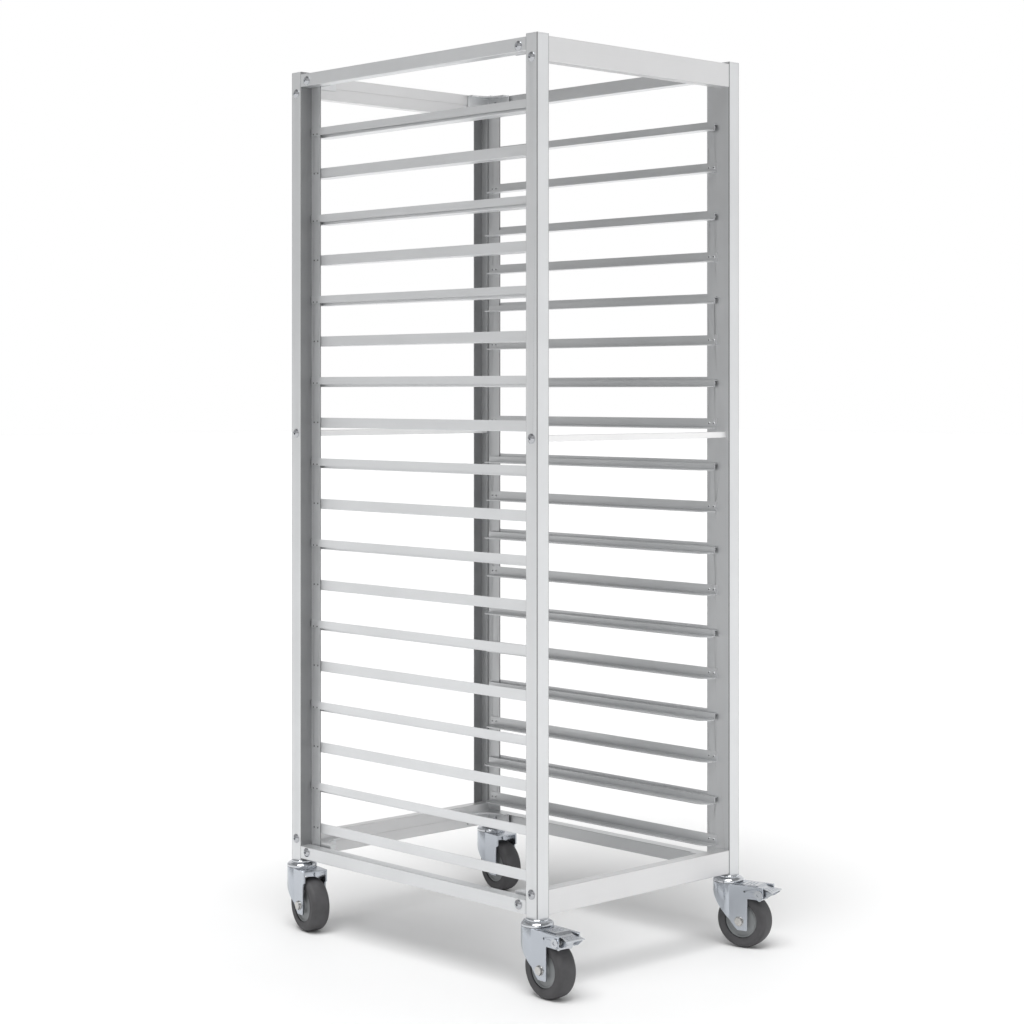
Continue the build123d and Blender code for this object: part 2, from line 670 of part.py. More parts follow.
def pedal_webs():
    """The pedal's two side webs, from the release plate past the pivot to the tread's tip."""
    with BuildPart() as webs:
        with BuildSketch(Plane.YZ.offset(PEDAL_HALF_WIDTH - PEDAL_SHEET)):
            with BuildLine():
                Polyline(
                    (PEDAL_REAR, 117.5),
                    (-66.0, 117.5),
                    (-72.0, 113.6),
                    (-PEDAL_REACH, 109.0),
                    (-PEDAL_REACH, 105.4),
                    (-89.0, 98.5),
                    (-79.0, 94.5),
                    (-70.0, 95.0),
                    (-65.0, 102.0),
                    (-57.0, 110.0),
                    (PEDAL_REAR, 115.0),
                    close=True,
                )
            make_face()
        extrude(amount=PEDAL_SHEET)
        mirror(about=Plane.YZ)
    return webs.part


def brake_pedal():
    """Foot pedal between the arms: release plate, tread, side webs, headed pivot pin and brake shoe."""
    pivot = (PEDAL_PIVOT_Y, PEDAL_PIVOT_Z)
    head_inner = FORK_HALF_WIDTH + 0.3
    with BuildPart() as pedal:
        add(pedal_webs())
        with BuildSketch(Plane.YZ):
            with BuildLine():
                Polyline(
                    (PEDAL_REAR, 117.5),
                    (-66.0, 117.5),
                    (-72.0, 113.6),
                    (-PEDAL_REACH, 109.0),
                    (-PEDAL_REACH, 107.0),
                    (-71.6, 111.6),
                    (-66.0, 115.5),
                    (PEDAL_REAR, 115.5),
                    close=True,
                )
            make_face()
        extrude(amount=TREAD_TIP_HALF_WIDTH, both=True)
        with BuildSketch(Plane.XY.offset(PEDAL_PIVOT_Z)):
            with BuildLine():
                Polyline(
                    (PEDAL_HALF_WIDTH, PEDAL_REAR),
                    (TREAD_TIP_HALF_WIDTH + 1.0, PEDAL_REAR),
                    (TREAD_TIP_HALF_WIDTH + 1.0, -PEDAL_REACH),
                    (TREAD_TIP_HALF_WIDTH, -PEDAL_REACH),
                    (PEDAL_HALF_WIDTH, ARM_FRONT - 2.0),
                    close=True,
                )
            make_face()
            mirror(about=Plane.YZ)
        extrude(amount=20.0, mode=Mode.SUBTRACT)
        with BuildSketch(Plane.YZ):
            with Locations(pivot):
                Circle(PEDAL_PIN_RADIUS)
        extrude(amount=head_inner, both=True)
        with BuildSketch(Plane.YZ.offset(head_inner), Plane.YZ.offset(-head_inner - 2.0)):
            with Locations(pivot):
                Circle(PIN_HEAD_RADIUS)
        extrude(amount=2.0)
        with BuildSketch(Plane.YZ.offset(head_inner + 0.8), Plane.YZ.offset(-head_inner - 2.0)):
            with Locations(pivot):
                Circle(3.4)
        extrude(amount=1.2, mode=Mode.SUBTRACT)
        with BuildSketch(Plane.YZ):
            with Locations(pivot):
                Circle(7.0)
            with Locations(Location(pivot, SHOE_ANGLE)):
                Rectangle(SHOE_OFFSET, 2 * SHOE_RADIUS, align=(Align.MIN, Align.CENTER))
                with Locations((SHOE_OFFSET, 0)):
                    Circle(SHOE_RADIUS)
        extrude(amount=PEDAL_HALF_WIDTH - PEDAL_SHEET, both=True)
    return pedal.part


def place(piece, side, end, turn):
    """Moves a castor piece under a post and turns it about its swivel axis."""
    return Location((side * POST_AXIS_X, end * POST_AXIS_Y, 0), (0, 0, turn)) * piece


def build_castors():
    head = castor_head()
    forks = {True: fork(True), False: fork(False)}
    wheel_axle = axle()
    wheel_hub = hub()
    wheel_tyre = tyre()
    pedal = brake_pedal()
    corners = (
        ("front_left", -1, -1),
        ("front_right", 1, -1),
        ("rear_left", -1, 1),
        ("rear_right", 1, 1),
    )
    for name, side, end in corners:
        turn = CASTOR_TURNS[name]
        braked = end < 0
        write(place(head, side, end, 0.0), "castor_head_" + name)
        write(place(forks[braked], side, end, turn), "castor_fork_" + name)
        write(place(wheel_axle, side, end, turn), "castor_axle_" + name)
        write(place(wheel_hub, side, end, turn), "wheel_hub_" + name)
        write(place(wheel_tyre, side, end, turn), "wheel_tyre_" + name)
        if braked:
            write(place(pedal, side, end, turn), "brake_pedal_" + name)


def build_frame():
    post = front_left_post()
    rear_post = mirror(post, about=Plane.XZ)
    write(post, "post_front_left")
    write(mirror(post, about=Plane.YZ), "post_front_right")
    write(rear_post, "post_rear_left")
    write(mirror(rear_post, about=Plane.YZ), "post_rear_right")
    for at_top, height_name in ((True, "top"), (False, "bottom")):
        side_rail = left_side_rail(at_top)
        write(side_rail, "side_rail_" + height_name + "_left")
        write(mirror(side_rail, about=Plane.YZ), "side_rail_" + height_name + "_right")
        end_rail = front_rail(at_top)
        write(end_rail, "front_rail_" + height_name)
        write(mirror(end_rail, about=Plane.XZ), "rear_rail_" + height_name)
    brace = front_mid_brace()
    with BuildPart() as braces:
        add(brace)
        mirror(about=Plane.XZ)
    write(braces.part, "mid_braces")
    write(rear_stops(), "rear_stops")
    write(post_caps(), "post_caps")
    write(stem_sleeves(), "stem_sleeves")
    write(corner_gussets(), "corner_gussets")
    write(frame_bolts(), "frame_bolts")
    write(runner_rivets(), "runner_rivets")
    for level in range(1, LEVEL_COUNT + 1):
        write(runner_pair(level), "runner_pair_%02d" % level)


os.makedirs("parts", exist_ok=True)
build_frame()
build_castors()
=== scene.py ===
"""Looks of the sheet pan rack: materials, small trim, floor, studio light and camera.

Lengths are in metres, and named sizes that end in _MM are in millimetres.
"""
import json
import math

import bmesh
import bpy
from mathutils import Matrix, Vector


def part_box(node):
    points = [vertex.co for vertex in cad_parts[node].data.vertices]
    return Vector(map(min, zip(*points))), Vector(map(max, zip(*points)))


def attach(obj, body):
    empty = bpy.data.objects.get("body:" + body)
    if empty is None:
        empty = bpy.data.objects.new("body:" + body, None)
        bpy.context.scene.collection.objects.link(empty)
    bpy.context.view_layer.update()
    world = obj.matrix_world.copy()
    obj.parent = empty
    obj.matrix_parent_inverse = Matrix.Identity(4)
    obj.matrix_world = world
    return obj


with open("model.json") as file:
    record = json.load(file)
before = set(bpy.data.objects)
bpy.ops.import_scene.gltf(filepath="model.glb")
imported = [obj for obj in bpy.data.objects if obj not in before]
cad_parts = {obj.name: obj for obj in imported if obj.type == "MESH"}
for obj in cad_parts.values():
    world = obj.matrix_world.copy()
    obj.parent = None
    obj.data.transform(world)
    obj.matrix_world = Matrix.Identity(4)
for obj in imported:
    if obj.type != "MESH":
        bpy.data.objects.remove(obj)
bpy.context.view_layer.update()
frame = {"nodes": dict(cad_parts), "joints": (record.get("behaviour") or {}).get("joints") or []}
NODES = frame["nodes"]
JOINTS = {joint["name"]: joint for joint in frame["joints"]}
CORNERS = ("front_left", "front_right", "rear_left", "rear_right")
BRAKED = ("front_left", "front_right")
MM = 0.001


# Materials


class Shader:
    """A Principled material whose nodes are added by short calls."""

    def __init__(self, name, color, metallic, roughness, **sockets):
        self.material = bpy.data.materials.new(name)
        self.material.use_nodes = True
        self.tree = self.material.node_tree
        self.surface = self.tree.nodes["Principled BSDF"]
        self.set(Metallic=metallic, Roughness=roughness)
        self.surface.inputs["Base Color"].default_value = (*color, 1.0)
        self.color = (*color, 1.0)
        for socket, value in sockets.items():
            self.surface.inputs[socket.replace("_", " ")].default_value = value

    def set(self, **sockets):
        for socket, value in sockets.items():
            self.surface.inputs[socket].default_value = value

    def node(self, kind, **sockets):
        made = self.tree.nodes.new(kind)
        for socket, value in sockets.items():
            made.inputs[socket].default_value = value
        return made

    def link(self, source, target):
        self.tree.links.new(source, target)

    def noise(self, scale, stretch=(1.0, 1.0, 1.0), detail=3.0):
        """Noise in object space, drawn out along the axes whose stretch is small."""
        place = self.node("ShaderNodeTexCoord")
        mapping = self.node("ShaderNodeMapping")
        mapping.inputs["Scale"].default_value = stretch
        texture = self.node("ShaderNodeTexNoise", Scale=scale, Detail=detail)
        self.link(place.outputs["Object"], mapping.inputs["Vector"])
        self.link(mapping.outputs["Vector"], texture.inputs["Vector"])
        return texture.outputs["Fac"]

    def spread(self, source, low, high):
        """The source, from its usual 0.3 to 0.7, mapped to low and high."""
        scaled = self.node("ShaderNodeMapRange")
        scaled.inputs["From Min"].default_value = 0.3
        scaled.inputs["From Max"].default_value = 0.7
        scaled.inputs["To Min"].default_value = low
        scaled.inputs["To Max"].default_value = high
        self.link(source, scaled.inputs["Value"])
        return scaled.outputs["Result"]

    def rough_by(self, source, low, high):
        self.link(self.spread(source, low, high), self.surface.inputs["Roughness"])

    def tint_by(self, source, dark, light):
        """Multiplies the base colour by a grey between dark and light."""
        ramp = self.node("ShaderNodeValToRGB")
        ramp.color_ramp.elements[0].position = 0.3
        ramp.color_ramp.elements[1].position = 0.7
        ramp.color_ramp.elements[0].color = [c * dark for c in self.color[:3]] + [1.0]
        ramp.color_ramp.elements[1].color = [min(c * light, 1.0) for c in self.color[:3]] + [1.0]
        self.link(source, ramp.inputs["Fac"])
        self.link(ramp.outputs["Color"], self.surface.inputs["Base Color"])

    def inward(self, axis):
        """1 on faces that look along an axis towards the rack's middle, 0 on the others."""
        place = self.node("ShaderNodeTexCoord")
        spot = self.node("ShaderNodeSeparateXYZ")
        facing = self.node("ShaderNodeSeparateXYZ")
        product = self.node("ShaderNodeMath")
        product.operation = "MULTIPLY"
        below = self.node("ShaderNodeMath")
        below.operation = "LESS_THAN"
        below.inputs[1].default_value = -0.04
        self.link(place.outputs["Object"], spot.inputs["Vector"])
        self.link(place.outputs["Normal"], facing.inputs["Vector"])
        self.link(spot.outputs[axis], product.inputs[0])
        self.link(facing.outputs[axis], product.inputs[1])
        self.link(product.outputs["Value"], below.inputs[0])
        return below.outputs["Value"]

    def shade_inward(self, factor, axis):
        """Paints the faces that look inward along an axis darker, like dark reflections."""
        colour = self.surface.inputs["Base Color"].links[0].from_socket
        amount = self.node("ShaderNodeMapRange")
        amount.inputs["To Min"].default_value = 1.0
        amount.inputs["To Max"].default_value = factor
        darker = self.node("ShaderNodeVectorMath")
        darker.operation = "SCALE"
        self.link(self.inward(axis), amount.inputs["Value"])
        self.link(colour, darker.inputs[0])
        self.link(amount.outputs["Result"], darker.inputs["Scale"])
        self.link(darker.outputs["Vector"], self.surface.inputs["Base Color"])

    def absolute_from(self, value, target):
        """How far a coordinate's size is from a target."""
        size = self.node("ShaderNodeMath")
        size.operation = "ABSOLUTE"
        gap = self.node("ShaderNodeMath")
        gap.operation = "SUBTRACT"
        gap.inputs[1].default_value = target
        away = self.node("ShaderNodeMath")
        away.operation = "ABSOLUTE"
        self.link(value, size.inputs[0])
        self.link(size.outputs["Value"], gap.inputs[0])
        self.link(gap.outputs["Value"], away.inputs[0])
        return away.outputs["Value"]

    def paint_corner_shade(self, corners, width, factor):
        """Paints a narrow line of shade along upright corners, given by the size of their X and Y.
        """
        place = self.node("ShaderNodeTexCoord")
        spot = self.node("ShaderNodeSeparateXYZ")
        self.link(place.outputs["Object"], spot.inputs["Vector"])
        nearest = None
        for x, y in corners:
            total = self.node("ShaderNodeMath")
            total.operation = "ADD"
            self.link(self.absolute_from(spot.outputs["X"], x), total.inputs[0])
            self.link(self.absolute_from(spot.outputs["Y"], y), total.inputs[1])
            if nearest is None:
                nearest = total.outputs["Value"]
                continue
            least = self.node("ShaderNodeMath")
            least.operation = "MINIMUM"
            self.link(nearest, least.inputs[0])
            self.link(total.outputs["Value"], least.inputs[1])
            nearest = least.outputs["Value"]
        amount = self.node("ShaderNodeMapRange")
        amount.inputs["From Min"].default_value = width * 0.6
        amount.inputs["From Max"].default_value = width
        amount.inputs["To Min"].default_value = factor
        amount.inputs["To Max"].default_value = 1.0
        colour = self.surface.inputs["Base Color"].links[0].from_socket
        darker = self.node("ShaderNodeVectorMath")
        darker.operation = "SCALE"
        self.link(nearest, amount.inputs["Value"])
        self.link(colour, darker.inputs[0])
        self.link(amount.outputs["Result"], darker.inputs["Scale"])
        self.link(darker.outputs["Vector"], self.surface.inputs["Base Color"])

    def bump_by(self, source, height_mm, strength=1.0):
        bump = self.node("ShaderNodeBump", Strength=strength, Distance=height_mm * MM)
        self.link(source, bump.inputs["Height"])
        self.link(bump.outputs["Normal"], self.surface.inputs["Normal"])


# Painted shade: a narrow dark line along the posts' upright corners.
CORNER_SHADE_WIDTH = 1.9 * MM
CORNER_SHADE_TONE = 0.4


def brushed_aluminium(name, color, grain_axis, roughness=0.38, painted_reflection_tone=0.76, corners=(), painted_reflection_tone_y=1.0):
    """Satin aluminium with fine drawing lines along one axis and faint cloudy handling marks, with
    painted dark reflections on the faces that look inward, and a painted line of shade along any
    corners given.
    """
    shader = Shader(name, color, 0.82, roughness, Specular_IOR_Level=0.5)
    fine = [900.0, 900.0, 900.0]
    fine[grain_axis] = 6.0
    grain = shader.noise(1.0, tuple(fine), detail=2.0)
    clouds = shader.noise(7.0, detail=4.0)
    shader.tint_by(clouds, 0.965, 1.02)
    shader.rough_by(grain, roughness - 0.06, roughness + 0.08)
    shader.bump_by(grain, 0.012)
    # Painted dark reflections: the faces that look inward are painted darker.
    shader.shade_inward(painted_reflection_tone, "X")
    if painted_reflection_tone_y < 1.0:
        shader.shade_inward(painted_reflection_tone_y, "Y")
    if corners:
        shader.paint_corner_shade(corners, CORNER_SHADE_WIDTH, CORNER_SHADE_TONE)
    return shader.material


def zinc_plate(name, color, roughness):
    """Zinc plating: a faint mottle in tone and shine over smooth pressed sheet."""
    shader = Shader(name, color, 0.95, roughness)
    mottle = shader.noise(180.0, detail=5.0)
    wave = shader.noise(40.0, detail=2.0)
    shader.tint_by(mottle, 0.97, 1.02)
    shader.rough_by(mottle, roughness - 0.02, roughness + 0.04)
    shader.bump_by(wave, 0.02)
    return shader.material


def polished_chrome(name):
    shader = Shader(name, (0.46, 0.47, 0.49), 1.0, 0.1)
    haze = shader.noise(260.0, detail=3.0)
    shader.rough_by(haze, 0.06, 0.16)
    return shader.material


def grey_rubber(name):
    """Non-marking rubber: dull, with a fine moulded grain and dusty patches."""
    shader = Shader(name, (0.062, 0.061, 0.064), 0.0, 0.62, Specular_IOR_Level=0.45)
    dust = shader.noise(55.0, detail=6.0)
    grain = shader.noise(1400.0, detail=3.0)
    shader.tint_by(dust, 0.85, 1.25)
    shader.rough_by(dust, 0.52, 0.74)
    shader.bump_by(grain, 0.03)
    return shader.material


def moulded_plastic(name, color, roughness=0.5):
    shader = Shader(name, color, 0.0, roughness)
    grain = shader.noise(900.0, detail=3.0)
    tone = shader.noise(30.0, detail=3.0)
    shader.tint_by(tone, 0.93, 1.06)
    shader.rough_by(tone, roughness - 0.06, roughness + 0.08)
    shader.bump_by(grain, 0.02)
    return shader.material


ALONG_X, ALONG_Y, ALONG_Z = 0, 1, 2
POST_LOW, POST_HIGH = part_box("post_front_right")
POST_SHADE_CORNERS = (
    (POST_HIGH.x, -POST_LOW.y),
    (POST_LOW.x, -POST_LOW.y),
)
POST = brushed_aluminium(
    "post_aluminium", (0.72, 0.73, 0.74), ALONG_Z, corners=POST_SHADE_CORNERS, painted_reflection_tone_y=0.38
)
SIDE_RAIL = brushed_aluminium("side_rail_aluminium", (0.71, 0.72, 0.73), ALONG_Y)
END_RAIL = brushed_aluminium("end_rail_aluminium", (0.71, 0.71, 0.715), ALONG_X)
BRACE = brushed_aluminium("brace_aluminium", (0.90, 0.90, 0.90), ALONG_X, 0.45)
RUNNER = brushed_aluminium("runner_aluminium", (0.72, 0.73, 0.74), ALONG_Y, 0.34, 0.74)
GUSSET = brushed_aluminium("gusset_aluminium", (0.74, 0.75, 0.76), ALONG_X, 0.4)
RIVET = zinc_plate("rivet_aluminium", (0.56, 0.57, 0.58), 0.3)
CHROME = polished_chrome("bolt_chrome")
HEAD_ZINC = zinc_plate("head_zinc", (0.60, 0.62, 0.65), 0.09)
FORK_ZINC = zinc_plate("fork_zinc", (0.50, 0.53, 0.575), 0.22)
PEDAL_ZINC = zinc_plate("pedal_zinc", (0.56, 0.58, 0.61), 0.2)
AXLE_ZINC = zinc_plate("axle_zinc", (0.58, 0.57, 0.55), 0.24)
HUB_GREY = moulded_plastic("hub_grey", (0.235, 0.245, 0.25), 0.45)
RUBBER = grey_rubber("tyre_grey")
BLACK = moulded_plastic("black_plastic", (0.012, 0.012, 0.013), 0.42)


def material_of(node):
    """The material of a CAD node, by the longest matching start of its name."""
    by_start = {
        "post_": POST,
        "post_caps": POST,
        "rear_stops": POST,
        "side_rail": SIDE_RAIL,
        "front_rail": END_RAIL,
        "rear_rail": END_RAIL,
        "mid_braces": BRACE,
        "runner_pair": RUNNER,
        "runner_rivets": RIVET,
        "corner_gussets": GUSSET,
        "frame_bolts": CHROME,
        "stem_sleeves": BLACK,
        "castor_head": HEAD_ZINC,
        "castor_fork": FORK_ZINC,
        "castor_axle": AXLE_ZINC,
        "wheel_hub": HUB_GREY,
        "wheel_tyre": RUBBER,
        "brake_pedal": PEDAL_ZINC,
    }
    matches = [start for start in by_start if node.startswith(start)]
    return by_start[max(matches, key=len)]


PRESSED_EDGE = 0.6 * MM
SHEET_EDGE = 0.35 * MM


def dress_cad_nodes():
    """Gives each CAD node its material, and a small rounded edge where sheet or tube ends."""
    for name, node in NODES.items():
        node.data.materials.clear()
        node.data.materials.append(material_of(name))
        if name.startswith(("castor_fork", "brake_pedal", "castor_axle")):
            soften(node, PRESSED_EDGE)
        elif not name.startswith(("wheel_tyre", "castor_head", "runner_rivets", "frame_bolts")):
            soften(node, SHEET_EDGE)


def soften(piece, width):
    """Welds a mesh's split corners and bevels its sharp edges."""
    weld = piece.modifiers.new("weld", "WELD")
    weld.merge_threshold = 0.00001
    bevel = piece.modifiers.new("bevel", "BEVEL")
    bevel.width = width
    bevel.segments = 2
    bevel.limit_method = "ANGLE"
    bevel.angle_limit = math.radians(40)
    bevel.harden_normals = False
    bevel.use_clamp_overlap = True


dress_cad_nodes()


# Small trim


SEAL_RING_RADIUS = 31.8 * MM
SEAL_RING_WIRE = 0.75 * MM
SEAL_RING_INSET = 2.7 * MM
TYRE_BEAD_RADIUS = 34.2 * MM
TYRE_BEAD_WIRE = 0.7 * MM
TYRE_BEAD_INSET = 1.1 * MM
BEARING_CAP_RADIUS = 12.0 * MM
BEARING_CAP_THICKNESS = 1.2 * MM
BEARING_CAP_INSET = 1.9 * MM
DUST_RING_WIRE = 0.9 * MM
DUST_RING_INSET = 1.1 * MM
DUST_RING_LIFT = 0.2 * MM
AXLE_HOLE_REACH = 7.0 * MM
WASHER_RADIUS = 8.6 * MM
WASHER_WIRE = 0.55 * MM
WASHER_GAP = 0.4 * MM
MANDREL_RADIUS = 1.2 * MM
MANDREL_LENGTH = 0.6 * MM
MANDREL_SINK = 0.3 * MM


def castor_frame(corner):
    """The castor's own frame: origin on the floor under its swivel, X along the wheel axle."""
    swivel = JOINTS["castor_swivel_" + corner]["pos_m"]
    along = Vector(JOINTS["wheel_spin_" + corner]["axis"]).normalized()
    across = Vector((0.0, 0.0, 1.0)).cross(along)
    turned = Matrix((along, across, (0.0, 0.0, 1.0))).transposed().to_4x4()
    return Matrix.Translation((swivel[0], swivel[1], 0.0)) @ turned


def local(corner, place):
    """A world position in the castor's own frame."""
    return castor_frame(corner).inverted() @ Vector(place)


def half_width(node, corner, near_axle=1.0):
    """How far a castor node reaches from the castor's middle plane, near its axle if asked."""
    inverse = castor_frame(corner).inverted() @ NODES[node].matrix_world
    axle = local(corner, JOINTS["wheel_spin_" + corner]["pos_m"])
    spots = [inverse @ vertex.co for vertex in NODES[node].data.vertices]
    return max(abs(spot.x) for spot in spots if (spot - axle).yz.length < near_axle)


def piece(name, shape, matrix, material, body):
    """Turns a bmesh into an object at matrix that rides on a body."""
    shape.transform(matrix)
    bmesh.ops.recalc_face_normals(shape, faces=shape.faces)
    mesh = bpy.data.meshes.new(name)
    shape.to_mesh(mesh)
    shape.free()
    made = bpy.data.objects.new(name, mesh)
    bpy.context.scene.collection.objects.link(made)
    mesh.materials.append(material)
    for polygon in mesh.polygons:
        polygon.use_smooth = True
    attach(made, body)
    return made


def swept(path, radius, closed, sides=10):
    """A round wire along a list of points with the local X axis as its reference direction."""
    shape = bmesh.new()
    rings = []
    count = len(path)
    for index, point in enumerate(path):
        ahead = path[(index + 1) % count] if closed or index + 1 < count else point
        behind = path[index - 1] if closed or index > 0 else point
        forward = (ahead - behind).normalized()
        side = Vector((1.0, 0.0, 0.0)) - forward * forward.x
        side.normalize()
        upward = forward.cross(side)
        ring = []
        for step in range(sides):
            angle = 2.0 * math.pi * step / sides
            offset = side * math.cos(angle) + upward * math.sin(angle)
            ring.append(shape.verts.new(point + offset * radius))
        rings.append(ring)
    last = count if closed else count - 1
    for index in range(last):
        here, after = rings[index], rings[(index + 1) % count]
        for step in range(sides):
            turned = (step + 1) % sides
            shape.faces.new((here[step], here[turned], after[turned], after[step]))
    if not closed:
        shape.faces.new(rings[0])
        shape.faces.new(rings[-1])
    return shape


def circle(centre, radius, normal_is_x, steps=96):
    """Points of a circle about the local X or Z direction."""
    points = []
    for step in range(steps):
        angle = 2.0 * math.pi * step / steps
        first, second = radius * math.cos(angle), radius * math.sin(angle)
        offset = Vector((0.0, first, second)) if normal_is_x else Vector((first, second, 0.0))
        points.append(centre + offset)
    return points


def block(size, corner_radius):
    """A box about the origin with rounded edges."""
    shape = bmesh.new()
    bmesh.ops.create_cube(shape, size=1.0)
    bmesh.ops.scale(shape, vec=size, verts=shape.verts)
    bmesh.ops.bevel(
        shape, geom=shape.edges[:], offset=corner_radius, segments=3, profile=0.5, affect="EDGES"
    )
    return shape


def disc(radius, thickness, sides=48):
    """A short cylinder about the local X axis, from the origin towards +X."""
    shape = bmesh.new()
    bmesh.ops.create_cone(
        shape, cap_ends=True, segments=sides, radius1=radius, radius2=radius * 0.94, depth=thickness
    )
    lying = Matrix.Rotation(math.radians(90), 4, "Y")
    shape.transform(Matrix.Translation((thickness / 2, 0.0, 0.0)) @ lying)
    return shape


def add_wheel_trim(corner):
    """Seal ring, tyre bead and bearing cap on both sides of the wheel."""
    body = "wheel_" + corner
    matrix = castor_frame(corner)
    hub_joint = JOINTS["wheel_spin_" + corner]["pos_m"]
    centre = local(corner, hub_joint)
    tyre_half = half_width("wheel_tyre_" + corner, corner)
    hub_half = half_width("wheel_hub_" + corner, corner)
    for side, tag in ((-1, "a"), (1, "b")):
        ring_place = centre + Vector((side * (tyre_half - SEAL_RING_INSET), 0.0, 0.0))
        ring = swept(circle(ring_place, SEAL_RING_RADIUS, True), SEAL_RING_WIRE, True)
        piece("seal_ring_%s_%s" % (corner, tag), ring, matrix, BLACK, body)
        bead_place = centre + Vector((side * (tyre_half - TYRE_BEAD_INSET), 0.0, 0.0))
        bead = swept(circle(bead_place, TYRE_BEAD_RADIUS, True), TYRE_BEAD_WIRE, True)
        piece("tyre_bead_%s_%s" % (corner, tag), bead, matrix, RUBBER, body)
        cap = disc(BEARING_CAP_RADIUS, side * BEARING_CAP_THICKNESS)
        cap_offset = Vector((side * (hub_half - BEARING_CAP_INSET), 0.0, 0.0))
        cap_place = Matrix.Translation(centre + cap_offset)
        piece("bearing_cap_%s_%s" % (corner, tag), cap, matrix @ cap_place, BLACK, body)


def add_head_trim(corner):
    """The dark dust ring between the head and the fork."""
    matrix = castor_frame(corner)
    head_low, head_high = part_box("castor_head_" + corner)
    outer = (head_high.x - head_low.x) / 2
    crown_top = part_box("castor_fork_" + corner)[1].z
    middle = Vector((0.0, 0.0, crown_top + DUST_RING_LIFT))
    ring = swept(circle(middle, outer - DUST_RING_INSET, False), DUST_RING_WIRE, True)
    piece("dust_ring_" + corner, ring, matrix, BLACK, "frame")


def add_axle_washers(corner):
    """Spring washers under the axle's head and nut."""
    matrix = castor_frame(corner)
    centre = local(corner, JOINTS["wheel_spin_" + corner]["pos_m"])
    cheek_half = half_width("castor_fork_" + corner, corner, AXLE_HOLE_REACH)
    for side, tag in ((-1, "head"), (1, "nut")):
        place = centre + Vector((side * (cheek_half + WASHER_GAP), 0.0, 0.0))
        ring = swept(circle(place, WASHER_RADIUS, True, 48), WASHER_WIRE, True, 8)
        piece("axle_washer_%s_%s" % (corner, tag), ring, matrix, AXLE_ZINC, "swivel_" + corner)


TREAD_GRIP_MM = (26.0, 1.5, 1.2)
TREAD_GRIP_EDGE_MM = 0.5
TREAD_GRIPS = 4
TREAD_GRIP_FIRST_MM = -80.0
TREAD_GRIP_PITCH_MM = 4.2
TREAD_TOP_MM = 113.6
TREAD_START_MM = 72.0
TREAD_SLOPE = math.atan2(4.6, 26.0)
RELEASE_GRIP_MM = (22.0, 1.4, 1.1)
RELEASE_GRIP_EDGE_MM = 0.45
RELEASE_GRIPS = 3
RELEASE_GRIP_FIRST_MM = -43.0
RELEASE_GRIP_PITCH_MM = 6.5
RELEASE_TOP_MM = 117.7
SPRING_STEPS = 96
SPRING_STEPS_PER_TURN = 32.0
SPRING_RADIUS_MM = 4.0
SPRING_START_MM = 16.8
SPRING_LENGTH_MM = 2.4
SPRING_WIRE_MM = 0.38


def add_pedal_trim(corner):
    """Raised grips on the tread and the release plate, and the return spring round the pin."""
    body = "pedal_" + corner
    matrix = castor_frame(corner)
    pivot = local(corner, JOINTS["brake_press_" + corner]["pos_m"])
    tilt = Matrix.Rotation(TREAD_SLOPE, 4, "X")
    for index in range(TREAD_GRIPS):
        back = TREAD_GRIP_FIRST_MM - TREAD_GRIP_PITCH_MM * index
        height = TREAD_TOP_MM - (-back - TREAD_START_MM) * math.tan(TREAD_SLOPE)
        grip = block([side * MM for side in TREAD_GRIP_MM], TREAD_GRIP_EDGE_MM * MM)
        place = Matrix.Translation((0.0, back * MM, height * MM)) @ tilt
        piece("tread_grip_%s_%d" % (corner, index), grip, matrix @ place, PEDAL_ZINC, body)
    for index in range(RELEASE_GRIPS):
        back = RELEASE_GRIP_FIRST_MM - RELEASE_GRIP_PITCH_MM * index
        grip = block([side * MM for side in RELEASE_GRIP_MM], RELEASE_GRIP_EDGE_MM * MM)
        place = Matrix.Translation((0.0, back * MM, RELEASE_TOP_MM * MM))
        piece("release_grip_%s_%d" % (corner, index), grip, matrix @ place, PEDAL_ZINC, body)
    for side, tag in ((-1, "a"), (1, "b")):
        path = []
        for step in range(SPRING_STEPS + 1):
            angle = 2.0 * math.pi * step / SPRING_STEPS_PER_TURN
            radius = SPRING_RADIUS_MM * MM
            turn = Vector((0.0, radius * math.cos(angle), radius * math.sin(angle)))
            out = SPRING_START_MM + SPRING_LENGTH_MM * step / SPRING_STEPS
            path.append(pivot + Vector((side * out * MM, 0.0, 0.0)) + turn)
        coil = swept(path, SPRING_WIRE_MM * MM, False, 8)
        piece("return_spring_%s_%s" % (corner, tag), coil, matrix, AXLE_ZINC, body)


def islands(node):
    """Bounding boxes of the separate solids in a CAD node's mesh."""
    shape = bmesh.new()
    shape.from_mesh(node.data)
    shape.transform(node.matrix_world)
    bmesh.ops.remove_doubles(shape, verts=shape.verts, dist=0.00001)
    seen = set()
    boxes = []
    for start in shape.verts:
        if start in seen:
            continue
        seen.add(start)
        waiting = [start]
        members = []
        while waiting:
            vert = waiting.pop()
            members.append(vert.co.copy())
            for edge in vert.link_edges:
                other = edge.other_vert(vert)
                if other not in seen:
                    seen.add(other)
                    waiting.append(other)
        low = Vector([min(co[axis] for co in members) for axis in range(3)])
        high = Vector([max(co[axis] for co in members) for axis in range(3)])
        boxes.append((low, high))
    shape.free()
    return boxes


